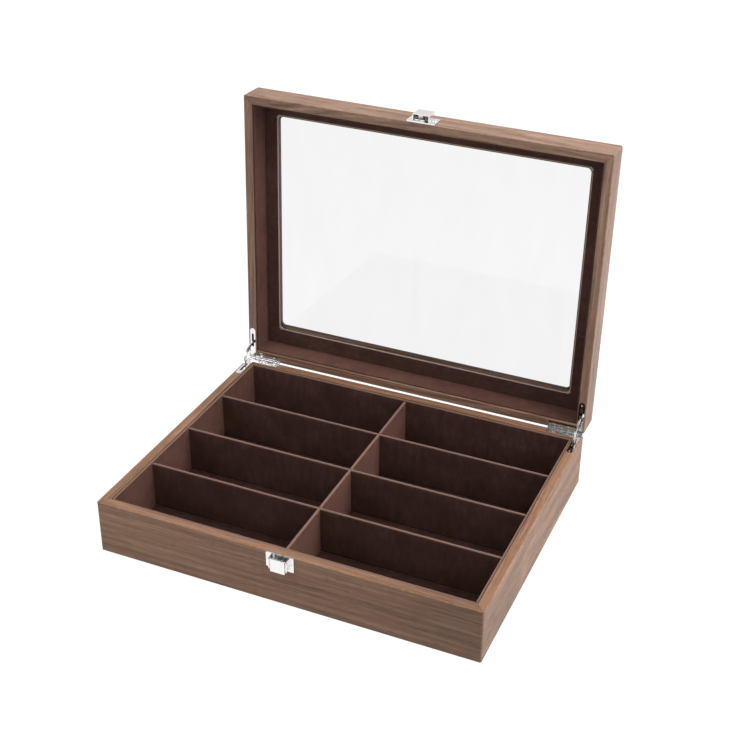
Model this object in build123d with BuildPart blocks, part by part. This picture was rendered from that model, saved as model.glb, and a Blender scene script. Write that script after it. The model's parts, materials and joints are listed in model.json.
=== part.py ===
from build123d import *
from math import asin, cos, degrees, radians, sin
import os

# Glasses organizer: a walnut box with eight compartments and a hinged, windowed lid.
# Millimetres, +Z up. The origin is the centre of the base's underside, -Y is the front.
# The lid is drawn in the coordinates of the closed box and placed open through LID.

# ---- Driving dimensions: box ----
box_width = 335.0
box_depth = 260.0
base_height = 49.0
lid_height = 26.0
closed_gap = 0.7              # between the base rim and the lid rim
wall = 8.0
corner_round = 1.6
arris_round = 0.8
open_angle = 92.0

# ---- Driving dimensions: lining ----
felt_thickness = 0.8
board_thickness = 2.4
pad_thickness = 1.0
base_liner = 2.2
base_liner_drop = 0.7         # liner top below the base rim
lid_liner = 1.2
lid_liner_drop = 1.0          # liner edge inside the lid rim
liner_round_share = 0.4       # edge radius over the liner's thickness
divider_thickness = 2.4
divider_drop = 2.0            # divider top below the base rim
divider_round = 0.8
lap_clearance = 0.1
row_count = 4

# ---- Driving dimensions: window ----
window_frame_thickness = 2.4
velvet_frame_thickness = 1.5
pane_thickness = 1.8
pane_clearance = 0.25
window_side_margin = 23.3     # outer opening, from the outside of the box
window_front_margin = 23.0
window_rear_margin = 28.5
ledge_side = 1.0              # how far the velvet frame's opening is larger
ledge_front = 1.0
ledge_rear = 3.4
window_corner = 4.0

# ---- Driving dimensions: quadrant hinges ----
hinge_offset = 0.45            # pin axis behind the rear face
barrel_radius = 2.2
hinge_pin_radius = 0.75
running_clearance = 0.05
knuckle_count = 5
knuckle_gap = 0.3
barrel_inner_x = 134.5
barrel_outer_x = 166.5
leaf_thickness = 1.5
leaf_leg_inner_x = 160.5
leaf_leg_outer_x = 166.0
leaf_reach = 31.5             # from the pin axis to the leaf's round end
leaf_rear_width = 4.1
leaf_rear_setback = 2.5       # from the pin axis to the leaf's rear edge
slot_near = 12.0              # leaf slot, measured from the pin axis
slot_far = 26.0
slot_width = 2.2
quadrant_radius = 16.5
quadrant_width = 2.6
quadrant_thickness = 1.4
stop_radius = 0.9
stop_length = 3.6
stop_clearance = 0.15
mortise_width = 4.2
mortise_clearance = 0.5
slot_pocket = 3.0             # depth of the wood's pocket under a leaf slot
pocket_clearance = 0.1

# ---- Driving dimensions: fasteners ----
screw_head_radius = 1.7
screw_shank_radius = 0.8
screw_head_height = 0.9
screw_length = 8.0
screw_cross_width = 0.45
screw_cross_depth = 0.5
rear_screw_shares = (0.18, 0.58)  # along the barrel, from its inner end
nail_head_radius = 1.3
nail_head_height = 0.6
nail_radius = 0.6
nail_length = 6.0
nail_crown = 0.48             # edge radius of the domed head

# ---- Driving dimensions: latch ----
latch_plate_width = 24.0
latch_plate_height = 13.6
latch_plate_thickness = 1.0
latch_plate_corner = 0.8
latch_rim_margin = 0.1        # plate edge to the rim it belongs to
cheek_thickness = 1.0
cheek_inner_x = 6.9
cheek_reach = 5.0             # from the front wall
cheek_low = 13.0              # below the base rim
cheek_high = 2.0
cheek_corner = 1.2
lever_width = 12.8
lever_low = 14.3              # below the base rim
lever_high = 1.9
lever_back = 4.6              # from the front wall to the lever's back
lever_thickness = 1.0
lever_corner = 0.6
lever_edge = 0.35
lever_pivot_drop = 9.5        # pin axis below the base rim
lever_pivot_reach = 3.0       # pin axis in front of the front wall
lug_thickness = 1.2
lug_radius = 1.6
latch_pin_radius = 0.7
latch_pin_end = 8.4
tooth_inner_x = 0.9
tooth_outer_x = 4.1
tooth_drop = 3.1              # underside of the tooth below the base rim
tooth_tip_reach = 2.6         # tip in front of the front wall
tooth_tip_height = 0.4
spring_inner_radius = 1.0
spring_outer_radius = 1.45
spring_half_length = 3.6
catch_width = 26.0
catch_height = 14.5
catch_corner = 1.2
hood_width = 15.4
hood_web = 3.6                # between the hood's two cells
hood_reach = 7.5
hood_wall = 0.9
hood_edge = 1.0
tongue_width = 10.0
tongue_back = 2.2             # from the front wall to the tongue's back
tongue_thickness = 1.2
tongue_low = 4.7              # tongue's end below the base rim
tongue_window_low = 3.4
tongue_window_width = 3.8
tongue_web = 1.2
tongue_root = 9.0             # tongue's root above the lid rim
nail_x = 10.1
latch_nail_drop = 7.5
catch_nail_rise = 7.5

# ---- Worked-out values ----
lid_rim = base_height + closed_gap
lid_top = lid_rim + lid_height
hinge_y = box_depth / 2 + hinge_offset
hinge_z = base_height + closed_gap / 2
inner_width = box_width - 2 * wall
inner_depth = box_depth - 2 * wall
board_top = felt_thickness + board_thickness
floor_top = board_top + pad_thickness
divider_top = base_height - divider_drop
velvet_frame_z = lid_top - window_frame_thickness - velvet_frame_thickness
window_width = box_width - 2 * window_side_margin
window_depth = box_depth - window_front_margin - window_rear_margin
window_centre_y = (window_front_margin - window_rear_margin) / 2
bed_width = window_width + 2 * ledge_side
bed_depth = window_depth + ledge_front + ledge_rear
bed_centre_y = window_centre_y + (ledge_rear - ledge_front) / 2
bed_corner = window_corner + ledge_side
pane_corner = bed_corner - pane_clearance
front_y = -box_depth / 2
rim_offset = closed_gap / 2                     # from the pin axis to either rim
leaf_leg_width = leaf_leg_outer_x - leaf_leg_inner_x
leaf_leg_x = (leaf_leg_outer_x + leaf_leg_inner_x) / 2
leaf_end_y = hinge_y - leaf_reach + leaf_leg_width / 2
leaf_rear_y = hinge_y - leaf_rear_setback
slot_middle_y = hinge_y - (slot_near + slot_far) / 2
slot_length = slot_far - slot_near
barrel_length = barrel_outer_x - barrel_inner_x
barrel_middle_x = (barrel_outer_x + barrel_inner_x) / 2
knuckle_length = (barrel_length - knuckle_gap * (knuckle_count - 1)) / knuckle_count
stop_depth = rim_offset + leaf_thickness + stop_radius + stop_clearance
stop_angle = degrees(asin(stop_depth / quadrant_radius))
quadrant_span = open_angle + 2 * stop_angle
mortise_angle = radians(stop_angle + open_angle / 2)
mortise_depth = quadrant_radius * sin(mortise_angle) + stop_radius + mortise_clearance
mortise_near = quadrant_radius * cos(mortise_angle) - stop_radius - mortise_clearance
mortise_far = quadrant_radius + quadrant_width / 2 + mortise_clearance
screw_rear_y = leaf_rear_y - leaf_rear_width / 2
screw_points = [(leaf_leg_x, leaf_end_y)]
screw_points += [(barrel_inner_x + barrel_length * share, screw_rear_y) for share in rear_screw_shares]
pivot_y = front_y - lever_pivot_reach
pivot_z = base_height - lever_pivot_drop
latch_nail_z = base_height - latch_nail_drop
catch_nail_z = lid_rim + catch_nail_rise

BASE = Plane.XY


def open_lid_plane():
    """The plane that carries closed-box coordinates to the lid's open place."""
    turn = radians(open_angle)
    up = Vector(0, sin(turn), cos(turn))
    back = Vector(0, cos(turn), -sin(turn))
    axis = Vector(0, hinge_y, hinge_z)
    return Plane(origin=axis - back * hinge_y - up * hinge_z, x_dir=(1, 0, 0), z_dir=up)


LID = open_lid_plane()


def side_plane(frame, x):
    """A plane across the box at x, with local coordinates (y, z)."""
    return Plane(origin=frame.from_local_coords(Vector(x, 0, 0)), x_dir=frame.y_dir, z_dir=frame.x_dir)


def front_plane(frame, y):
    """A plane that faces the front at y, with local coordinates (x, z)."""
    return Plane(origin=frame.from_local_coords(Vector(0, y, 0)), x_dir=frame.x_dir, z_dir=-frame.y_dir)


def rim_plane(frame):
    """A plane on a rim, whose normal points into the wood. Its local y runs towards the front."""
    if frame is BASE:
        return Plane(origin=(0, 0, base_height), x_dir=(1, 0, 0), z_dir=(0, 0, -1))
    return Plane(origin=frame.from_local_coords(Vector(0, 0, lid_rim)), x_dir=(1, 0, 0), z_dir=frame.z_dir)


def rim_point(frame, x, y):
    """A point of the rim plane, whose second axis is reversed on the base."""
    return (x, -y) if frame is BASE else (x, y)


def save(part, name):
    part.label = name
    export_step(part, f"parts/{name}.step")


# ---- Wooden walls ----
def leaf_rectangles(frame, side, grow):
    """The L outline of a hinge leaf, or of its pocket when it is grown."""
    with Locations(rim_point(frame, side * leaf_leg_x, (leaf_rear_y + leaf_end_y) / 2)):
        Rectangle(leaf_leg_width + 2 * grow, leaf_rear_y - leaf_end_y + 2 * grow)
    with Locations(rim_point(frame, side * leaf_leg_x, leaf_end_y)):
        Circle(leaf_leg_width / 2 + grow)
    with Locations(rim_point(frame, side * barrel_middle_x, screw_rear_y)):
        Rectangle(barrel_length + 2 * grow, leaf_rear_width + 2 * grow)


def hinge_seats(frame):
    """What the hinges take out of a rim: leaf pockets, barrel notches, mortises and pilot holes."""
    leaf_bottom = leaf_thickness + rim_offset
    with BuildPart() as seats:
        for side in (-1, 1):
            with BuildSketch(rim_plane(frame)):
                leaf_rectangles(frame, side, pocket_clearance)
            extrude(amount=leaf_thickness)
            with BuildSketch(side_plane(frame, side * barrel_middle_x)):
                with Locations((hinge_y, hinge_z)):
                    Rectangle(2 * (leaf_rear_setback + pocket_clearance), 2 * leaf_bottom)
                    Circle(barrel_radius + 3 * pocket_clearance)
            extrude(amount=barrel_length / 2 + knuckle_gap, both=True)
            with BuildSketch(side_plane(frame, side * leaf_leg_x)):
                with Locations((hinge_y - (mortise_near + mortise_far) / 2, hinge_z)):
                    Rectangle(mortise_far - mortise_near, 2 * mortise_depth)
                with Locations((slot_middle_y, hinge_z)):
                    Rectangle(slot_length, 2 * (leaf_bottom + slot_pocket))
            extrude(amount=mortise_width / 2, both=True)
            with BuildSketch(rim_plane(frame)):
                with Locations(*[rim_point(frame, side * x, y) for x, y in screw_points]):
                    Circle(screw_shank_radius)
            extrude(amount=screw_length)
    return seats.part


def mitre_points(side_name):
    """The plan of one wall, out to its 45 degree mitres."""
    half_x, half_y, reach = box_width / 2, box_depth / 2, 2 * wall
    corners = {"rear_left": (-1, 1), "front_left": (-1, -1), "front_right": (1, -1), "rear_right": (1, 1)}
    ends = {
        "front": ("front_left", "front_right"),
        "rear": ("rear_right", "rear_left"),
        "left": ("rear_left", "front_left"),
        "right": ("front_right", "rear_right"),
    }
    signs = [corners[name] for name in ends[side_name]]
    outer = [(x * half_x, y * half_y) for x, y in signs]
    inner = [(x * (half_x - reach), y * (half_y - reach)) for x, y in reversed(signs)]
    return outer + inner


def wooden_wall(frame, seats, side_name, bottom, height, nail_height):
    """One mitred wall of the base or of the lid."""
    with BuildPart() as piece:
        with BuildSketch(frame.offset(bottom)):
            RectangleRounded(box_width, box_depth, corner_round)
            Rectangle(inner_width, inner_depth, mode=Mode.SUBTRACT)
        extrude(amount=height)
        ends = piece.faces().filter_by(lambda face: abs(face.normal_at().dot(frame.z_dir)) > 0.99)
        fillet(ends.edges(), arris_round)
        add(seats, mode=Mode.SUBTRACT)
        with BuildSketch(front_plane(frame, front_y)):
            with Locations((-nail_x, nail_height), (nail_x, nail_height)):
                Circle(nail_radius)
        extrude(amount=-nail_length + latch_plate_thickness, mode=Mode.SUBTRACT)
        with BuildSketch(frame.offset(bottom)):
            Polygon(*mitre_points(side_name), align=None)
        extrude(amount=height, mode=Mode.INTERSECT)
    return piece.part


os.makedirs("parts", exist_ok=True)

base_seats = hinge_seats(BASE)
lid_seats = hinge_seats(LID)

for side_name in ("front", "rear", "left", "right"):
    base_wall = wooden_wall(BASE, base_seats, side_name, 0, base_height, latch_nail_z)
    lid_wall = wooden_wall(LID, lid_seats, side_name, lid_rim, lid_height, catch_nail_z)
    save(base_wall, f"base_{side_name}_wall")
    save(lid_wall, f"lid_{side_name}_wall")

# ---- Bottom ----
with BuildPart() as bottom_felt:
    with BuildSketch(Plane.XY):
        Rectangle(inner_width, inner_depth)
    extrude(amount=felt_thickness)
save(bottom_felt.part, "bottom_felt")

with BuildPart() as bottom_board:
    with BuildSketch(Plane.XY.offset(felt_thickness)):
        Rectangle(inner_width, inner_depth)
    extrude(amount=board_thickness)
save(bottom_board.part, "bottom_board")

with BuildPart() as floor_pad:
    with BuildSketch(Plane.XY.offset(board_top)):
        Rectangle(inner_width - 2 * base_liner, inner_depth - 2 * base_liner)
    extrude(amount=pad_thickness)
save(floor_pad.part, "floor_pad")


# ---- Velvet liners ----
def wall_liners(frame, thickness, bottom, top, prefix, round_high_edge):
    """Four liner panels against the inside of the walls: the long ones full width."""
    for side_name, direction in (("front", (0, -1)), ("rear", (0, 1)), ("left", (-1, 0)), ("right", (1, 0))):
        across, along = direction
        length_x = thickness if across else inner_width
        length_y = inner_depth - 2 * thickness if across else thickness
        centre = (across * (inner_width - thickness) / 2, along * (inner_depth - thickness) / 2)
        with BuildPart() as liner:
            with BuildSketch(frame.offset(bottom)):
                with Locations(centre):
                    Rectangle(length_x, length_y)
            extrude(amount=top - bottom)
            levels = liner.faces().sort_by(lambda face: face.center().dot(frame.z_dir))
            rim_face = levels[-1] if round_high_edge else levels[0]
            long_edges = rim_face.edges().sort_by(lambda edge: edge.length)[-2:]
            fillet(long_edges, thickness * liner_round_share)
        save(liner.part, f"{prefix}_liner_{side_name}")


wall_liners(BASE, base_liner, board_top, base_height - base_liner_drop, "base", True)
wall_liners(LID, lid_liner, lid_rim + lid_liner_drop, velvet_frame_z, "lid", False)

# ---- Dividers, joined by half laps ----
bay_depth = inner_depth - 2 * base_liner
bay_width = inner_width - 2 * base_liner
row_pitch = (bay_depth + divider_thickness) / row_count
row_lines = [row_pitch * (i - (row_count - 2) / 2) for i in range(row_count - 1)]
lap_height = (divider_top - floor_top) / 2
lap_width = divider_thickness + lap_clearance


def soften_divider(divider):
    """Rounds the long edges along a divider's top."""
    top_edges = divider.edges().group_by(Axis.Z)[-1]
    fillet(top_edges.filter_by(lambda edge: edge.length > row_pitch / 2), divider_round)


with BuildPart() as centre_divider:
    with BuildSketch(Plane.XY.offset(floor_top)):
        Rectangle(divider_thickness, bay_depth)
    extrude(amount=divider_top - floor_top)
    with BuildSketch(Plane.XY.offset(divider_top)):
        with Locations(*[(0, y) for y in row_lines]):
            Rectangle(divider_thickness, lap_width)
    extrude(amount=-lap_height, mode=Mode.SUBTRACT)
    soften_divider(centre_divider)
save(centre_divider.part, "centre_divider")

for row_name, row_y in zip(("front", "middle", "rear"), row_lines):
    with BuildPart() as cross_divider:
        with BuildSketch(Plane.XY.offset(floor_top)):
            with Locations((0, row_y)):
                Rectangle(bay_width, divider_thickness)
        extrude(amount=divider_top - floor_top)
        with BuildSketch(Plane.XY.offset(floor_top)):
            with Locations((0, row_y)):
                Rectangle(lap_width, divider_thickness)
        extrude(amount=lap_height, mode=Mode.SUBTRACT)
        soften_divider(cross_divider)
    save(cross_divider.part, f"cross_divider_{row_name}")

# ---- Window ----
with BuildPart() as window_frame:
    with BuildSketch(LID.offset(lid_top - window_frame_thickness)):
        Rectangle(inner_width, inner_depth)
        with Locations((0, window_centre_y)):
            RectangleRounded(window_width, window_depth, window_corner, mode=Mode.SUBTRACT)
    extrude(amount=window_frame_thickness)
save(window_frame.part, "lid_window_frame")

with BuildPart() as velvet_frame:
    with BuildSketch(LID.offset(velvet_frame_z)):
        Rectangle(inner_width, inner_depth)
        with Locations((0, bed_centre_y)):
            RectangleRounded(bed_width, bed_depth, bed_corner, mode=Mode.SUBTRACT)
    extrude(amount=velvet_frame_thickness)
save(velvet_frame.part, "lid_velvet_frame")

with BuildPart() as pane:
    with BuildSketch(LID.offset(lid_top - window_frame_thickness)):
        with Locations((0, bed_centre_y)):
            RectangleRounded(bed_width - 2 * pane_clearance, bed_depth - 2 * pane_clearance, pane_corner)
    extrude(amount=-pane_thickness)
save(pane.part, "window_pane")


# ---- Hinges ----
def knuckle_starts(side, remainder):
    """The low-x ends of the knuckles whose index is odd or even, counted from the outside."""
    pitch = knuckle_length + knuckle_gap
    outer_ends = [barrel_outer_x - i * pitch for i in range(knuckle_count) if i % 2 == remainder]
    return [x - knuckle_length if side > 0 else -x for x in outer_ends]


def hinge_leaf(frame, side, remainder, bore_radius):
    """A slotted L leaf, with the knuckles that it carries."""
    towards_wood = -1 if frame is BASE else 1
    rim = base_height if frame is BASE else lid_rim
    web = (hinge_y - leaf_rear_setback / 2, rim + towards_wood * leaf_thickness / 2)
    with BuildPart() as leaf:
        with BuildSketch(rim_plane(frame)):
            leaf_rectangles(frame, side, 0)
            with Locations(rim_point(frame, side * leaf_leg_x, slot_middle_y)):
                SlotOverall(slot_length, slot_width, rotation=90, mode=Mode.SUBTRACT)
        extrude(amount=leaf_thickness)
        for start in knuckle_starts(side, remainder):
            with BuildSketch(side_plane(frame, start)):
                with Locations((hinge_y, hinge_z)):
                    Circle(barrel_radius)
                with Locations(web):
                    Rectangle(leaf_rear_setback, leaf_thickness)
            extrude(amount=knuckle_length)
        with BuildSketch(side_plane(frame, side * barrel_middle_x)):
            with Locations((hinge_y, hinge_z)):
                Circle(bore_radius)
        extrude(amount=barrel_length, both=True, mode=Mode.SUBTRACT)
        with BuildSketch(rim_plane(frame)):
            with Locations(*[rim_point(frame, side * x, y) for x, y in screw_points]):
                Circle(screw_shank_radius)
        extrude(amount=leaf_thickness, mode=Mode.SUBTRACT)
        with BuildSketch(rim_plane(frame)):
            with Locations(*[rim_point(frame, side * x, y) for x, y in screw_points]):
                Circle(screw_head_radius)
        extrude(amount=screw_head_height, taper=45, mode=Mode.SUBTRACT)
    return leaf.part


def hinge_screws(frame):
    """Countersunk cross-head screws through both leaves of one rim."""
    points = [rim_point(frame, side * x, y) for side in (-1, 1) for x, y in screw_points]
    with BuildPart() as screws:
        with BuildSketch(rim_plane(frame)):
            with Locations(*points):
                Circle(screw_head_radius)
        extrude(amount=screw_head_height, taper=45)
        with BuildSketch(rim_plane(frame)):
            with Locations(*points):
                Circle(screw_shank_radius)
        extrude(amount=screw_length)
        with BuildSketch(rim_plane(frame)):
            with Locations(*points):
                Rectangle(screw_head_radius, screw_cross_width)
                Rectangle(screw_cross_width, screw_head_radius)
        extrude(amount=screw_cross_depth, mode=Mode.SUBTRACT)
    return screws.part


def hinge_pin(side):
    with BuildPart() as pin:
        with BuildSketch(Plane.YZ.offset(side * barrel_middle_x)):
            with Locations((hinge_y, hinge_z)):
                Circle(hinge_pin_radius)
        extrude(amount=barrel_length / 2 + knuckle_gap, both=True)
    return pin.part


def quadrant(side):
    """The curved arm that is centred on the pin axis and runs through both leaves."""
    half_width = quadrant_width / 2
    start = 180 - open_angle - stop_angle
    ends = [start, start + quadrant_span]
    end_points = [(hinge_y + quadrant_radius * cos(radians(a)), hinge_z + quadrant_radius * sin(radians(a)))
                  for a in ends]
    with BuildPart() as arm:
        with BuildSketch(Plane.YZ.offset(side * leaf_leg_x)):
            with BuildLine():
                outer = CenterArc((hinge_y, hinge_z), quadrant_radius + half_width, start, quadrant_span)
                inner = CenterArc((hinge_y, hinge_z), quadrant_radius - half_width, start, quadrant_span)
                Line(outer @ 0, inner @ 0)
                Line(outer @ 1, inner @ 1)
            make_face()
        extrude(amount=quadrant_thickness / 2, both=True)
        with BuildSketch(Plane.YZ.offset(side * leaf_leg_x)):
            with Locations(*end_points):
                Circle(stop_radius)
        extrude(amount=stop_length / 2, both=True)
    return arm.part


for side, side_name in ((-1, "left"), (1, "right")):
    save(hinge_leaf(BASE, side, 0, hinge_pin_radius), f"{side_name}_hinge_base_leaf")
    save(hinge_leaf(LID, side, 1, hinge_pin_radius + running_clearance), f"{side_name}_hinge_lid_leaf")
    save(hinge_pin(side), f"{side_name}_hinge_pin")
    save(quadrant(side), f"{side_name}_hinge_quadrant")

save(hinge_screws(BASE), "hinge_base_screws")
save(hinge_screws(LID), "hinge_lid_screws")

# ---- Latch on the base ----
plate_face_y = front_y - latch_plate_thickness
plate_middle_z = base_height - latch_rim_margin - latch_plate_height / 2

with BuildPart() as latch_plate:
    with BuildSketch(front_plane(BASE, front_y)):
        with Locations((0, plate_middle_z)):
            RectangleRounded(latch_plate_width, latch_plate_height, latch_plate_corner)
        with Locations((-nail_x, latch_nail_z), (nail_x, latch_nail_z)):
            Circle(nail_radius, mode=Mode.SUBTRACT)
    extrude(amount=latch_plate_thickness)
    for cheek_x in (-cheek_inner_x - cheek_thickness, cheek_inner_x):
        with BuildSketch(Plane.YZ.offset(cheek_x)):
            with Locations((front_y - cheek_reach / 2, base_height - (cheek_low + cheek_high) / 2)):
                Rectangle(cheek_reach, cheek_low - cheek_high)
            with Locations((pivot_y, pivot_z)):
                Circle(latch_pin_radius, mode=Mode.SUBTRACT)
        extrude(amount=cheek_thickness)
    cheek_corners = latch_plate.edges().filter_by(Axis.X).group_by(Axis.Y)[0]
    fillet(cheek_corners, cheek_corner)
    with BuildSketch(front_plane(BASE, front_y)):
        with Locations((0, plate_middle_z)):
            Rectangle(2 * latch_plate_width, 2 * latch_plate_height)
    extrude(amount=-wall, mode=Mode.SUBTRACT)
save(latch_plate.part, "latch_plate")

with BuildPart() as latch_lever:
    with BuildSketch(front_plane(BASE, front_y - lever_back)):
        with Locations((0, base_height - (lever_low + lever_high) / 2)):
            RectangleRounded(lever_width, lever_low - lever_high, lever_corner)
    extrude(amount=lever_thickness)
    fillet(latch_lever.faces().sort_by(Axis.Y)[0].edges(), lever_edge)
    for lug_x in (-lever_width / 2, lever_width / 2 - lug_thickness):
        with BuildSketch(Plane.YZ.offset(lug_x)):
            with Locations((pivot_y, pivot_z)):
                Circle(lug_radius)
            with Locations(((pivot_y + front_y - lever_back) / 2, pivot_z)):
                Rectangle(lever_back - lever_pivot_reach, 2 * lug_radius)
        extrude(amount=lug_thickness)
    with BuildSketch(Plane.YZ):
        with Locations((pivot_y, pivot_z)):
            Circle(latch_pin_radius + running_clearance)
    extrude(amount=lever_width, both=True, mode=Mode.SUBTRACT)
    tooth_z = base_height - tooth_drop
    for tooth_x in (-tooth_outer_x, tooth_inner_x):
        with BuildSketch(Plane.YZ.offset(tooth_x)):
            with BuildLine():
                Polyline(
                    (front_y - lever_back, tooth_z),
                    (front_y - tooth_tip_reach, tooth_z),
                    (front_y - tooth_tip_reach, tooth_z + tooth_tip_height),
                    (front_y - lever_back, base_height - lever_high - lever_thickness / 2),
                    close=True,
                )
            make_face()
        extrude(amount=tooth_outer_x - tooth_inner_x)
save(latch_lever.part, "latch_lever")

with BuildPart() as latch_pin:
    with BuildSketch(Plane.YZ):
        with Locations((pivot_y, pivot_z)):
            Circle(latch_pin_radius)
    extrude(amount=latch_pin_end, both=True)
save(latch_pin.part, "latch_pin")

with BuildPart() as latch_spring:
    with BuildSketch(Plane.YZ):
        with Locations((pivot_y, pivot_z)):
            Circle(spring_outer_radius)
            Circle(spring_inner_radius, mode=Mode.SUBTRACT)
    extrude(amount=spring_half_length, both=True)
save(latch_spring.part, "latch_spring")

# ---- Catch on the lid ----
hood_low = lid_rim + hood_wall
catch_middle_z = lid_rim + latch_rim_margin + catch_height / 2
catch_high = lid_rim + latch_rim_margin + catch_height
tongue_end = base_height - tongue_low
tongue_root_z = lid_rim + tongue_root
tongue_front_y = front_y - tongue_back - tongue_thickness

with BuildPart() as catch:
    with BuildSketch(front_plane(LID, front_y)):
        with Locations((0, catch_middle_z)):
            RectangleRounded(catch_width, catch_height, catch_corner)
        with Locations((-nail_x, catch_nail_z), (nail_x, catch_nail_z)):
            Circle(nail_radius, mode=Mode.SUBTRACT)
    extrude(amount=latch_plate_thickness)
    with BuildSketch(front_plane(LID, plate_face_y)):
        with Locations((0, (hood_low + catch_high) / 2)):
            Rectangle(hood_width, catch_high - hood_low)
    extrude(amount=hood_reach - latch_plate_thickness)
    hood_edges = catch.faces().sort_by(lambda face: face.center().dot(LID.y_dir))[0].edges()
    fillet(hood_edges.sort_by(lambda edge: edge.center().dot(LID.z_dir))[1:], hood_edge)
    with BuildSketch(front_plane(LID, plate_face_y)):
        cell = (hood_width - hood_web) / 2 - hood_wall
        for cell_x in (-(cell + hood_web) / 2, (cell + hood_web) / 2):
            with Locations((cell_x, (hood_low + catch_high - hood_wall) / 2)):
                Rectangle(cell, catch_high - hood_wall - hood_low)
    extrude(amount=hood_reach - latch_plate_thickness - hood_wall, mode=Mode.SUBTRACT)
    with BuildSketch(front_plane(LID, front_y - tongue_back)):
        with Locations((0, (tongue_root_z + tongue_end) / 2)):
            Rectangle(tongue_width, tongue_root_z - tongue_end)
    extrude(amount=tongue_thickness)
    with BuildSketch(front_plane(LID, plate_face_y)):
        with Locations((0, tongue_root_z - tongue_thickness / 2)):
            Rectangle(tongue_width, tongue_thickness)
    extrude(amount=tongue_back)
    with BuildSketch(front_plane(LID, front_y - tongue_back)):
        window_z0 = base_height - tongue_window_low
        window_z1 = lid_rim - tongue_thickness / 2
        for cell_x in (-(tongue_window_width + tongue_web) / 2, (tongue_window_width + tongue_web) / 2):
            with Locations((cell_x, (window_z0 + window_z1) / 2)):
                Rectangle(tongue_window_width, window_z1 - window_z0)
    extrude(amount=tongue_thickness, mode=Mode.SUBTRACT)
save(catch.part, "lid_catch")


# ---- Nails ----
def nails(frame, height, name):
    points = [(-nail_x, height), (nail_x, height)]
    with BuildPart() as pair:
        with BuildSketch(front_plane(frame, plate_face_y)):
            with Locations(*points):
                Circle(nail_head_radius)
        extrude(amount=nail_head_height)
        outer = pair.faces().sort_by(lambda face: face.center().dot(frame.y_dir))[0:2]
        fillet(outer.edges(), nail_crown)
        with BuildSketch(front_plane(frame, plate_face_y)):
            with Locations(*points):
                Circle(nail_radius)
        extrude(amount=-nail_length)
    save(pair.part, name)


nails(BASE, latch_nail_z, "latch_nails")
nails(LID, catch_nail_z, "catch_nails")
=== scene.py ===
import json
import math

import bmesh
import bpy
from mathutils import Matrix, Vector, noise


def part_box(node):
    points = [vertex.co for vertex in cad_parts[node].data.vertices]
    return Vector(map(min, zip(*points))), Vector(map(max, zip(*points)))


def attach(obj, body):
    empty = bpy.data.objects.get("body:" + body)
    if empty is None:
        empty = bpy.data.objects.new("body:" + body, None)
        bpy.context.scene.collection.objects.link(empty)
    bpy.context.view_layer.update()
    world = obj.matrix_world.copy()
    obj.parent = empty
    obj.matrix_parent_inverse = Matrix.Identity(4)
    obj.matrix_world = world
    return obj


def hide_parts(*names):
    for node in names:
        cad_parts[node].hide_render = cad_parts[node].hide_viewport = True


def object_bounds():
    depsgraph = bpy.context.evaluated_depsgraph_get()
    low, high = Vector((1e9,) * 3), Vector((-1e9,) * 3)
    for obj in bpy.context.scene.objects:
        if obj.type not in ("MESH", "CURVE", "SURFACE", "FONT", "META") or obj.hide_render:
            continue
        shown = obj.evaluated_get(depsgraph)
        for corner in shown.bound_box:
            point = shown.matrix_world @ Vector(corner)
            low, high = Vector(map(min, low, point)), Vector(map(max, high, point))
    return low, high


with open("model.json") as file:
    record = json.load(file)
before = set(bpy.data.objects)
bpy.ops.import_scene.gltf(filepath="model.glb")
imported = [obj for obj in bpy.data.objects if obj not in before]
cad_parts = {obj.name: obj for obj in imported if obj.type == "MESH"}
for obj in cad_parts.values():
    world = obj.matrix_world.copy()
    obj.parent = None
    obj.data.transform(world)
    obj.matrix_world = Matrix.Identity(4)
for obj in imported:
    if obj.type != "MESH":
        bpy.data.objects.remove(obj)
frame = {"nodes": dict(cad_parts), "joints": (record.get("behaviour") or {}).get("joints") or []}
cad_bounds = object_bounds()

NODES = frame["nodes"]
SCENE = bpy.context.scene
SCENE.view_settings.view_transform = "Standard"

# ---- Frames: the base's own axes, and the closed-box axes that the open lid is drawn in ----
lid_hinge = next(joint for joint in frame["joints"] if joint["name"] == "lid_hinge")
AXIS_POINT = Vector(lid_hinge["pos_m"])
OPEN_ANGLE = math.radians(lid_hinge["range_deg"][1])
BASE = Matrix.Identity(4)
LID = (
    Matrix.Translation(AXIS_POINT)
    @ Matrix.Rotation(-OPEN_ANGLE, 4, "X")
    @ Matrix.Translation(-AXIS_POINT)
)
LID_BACK = LID.inverted()


def closed_points(*nodes):
    """The vertices of lid nodes in closed-box coordinates."""
    return [LID_BACK @ vertex.co for node in nodes for vertex in NODES[node].data.vertices]


def closed_box(*nodes):
    """The box of lid nodes in closed-box coordinates."""
    points = closed_points(*nodes)
    low = Vector(min(point[k] for point in points) for k in range(3))
    high = Vector(max(point[k] for point in points) for k in range(3))
    return low, high


BASE_LOW, BASE_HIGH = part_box("base_front_wall")[0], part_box("base_rear_wall")[1]
LID_LOW, LID_HIGH = closed_box("lid_front_wall", "lid_rear_wall")
HALF_X = BASE_HIGH.x
HALF_Y = -BASE_LOW.y

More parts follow.
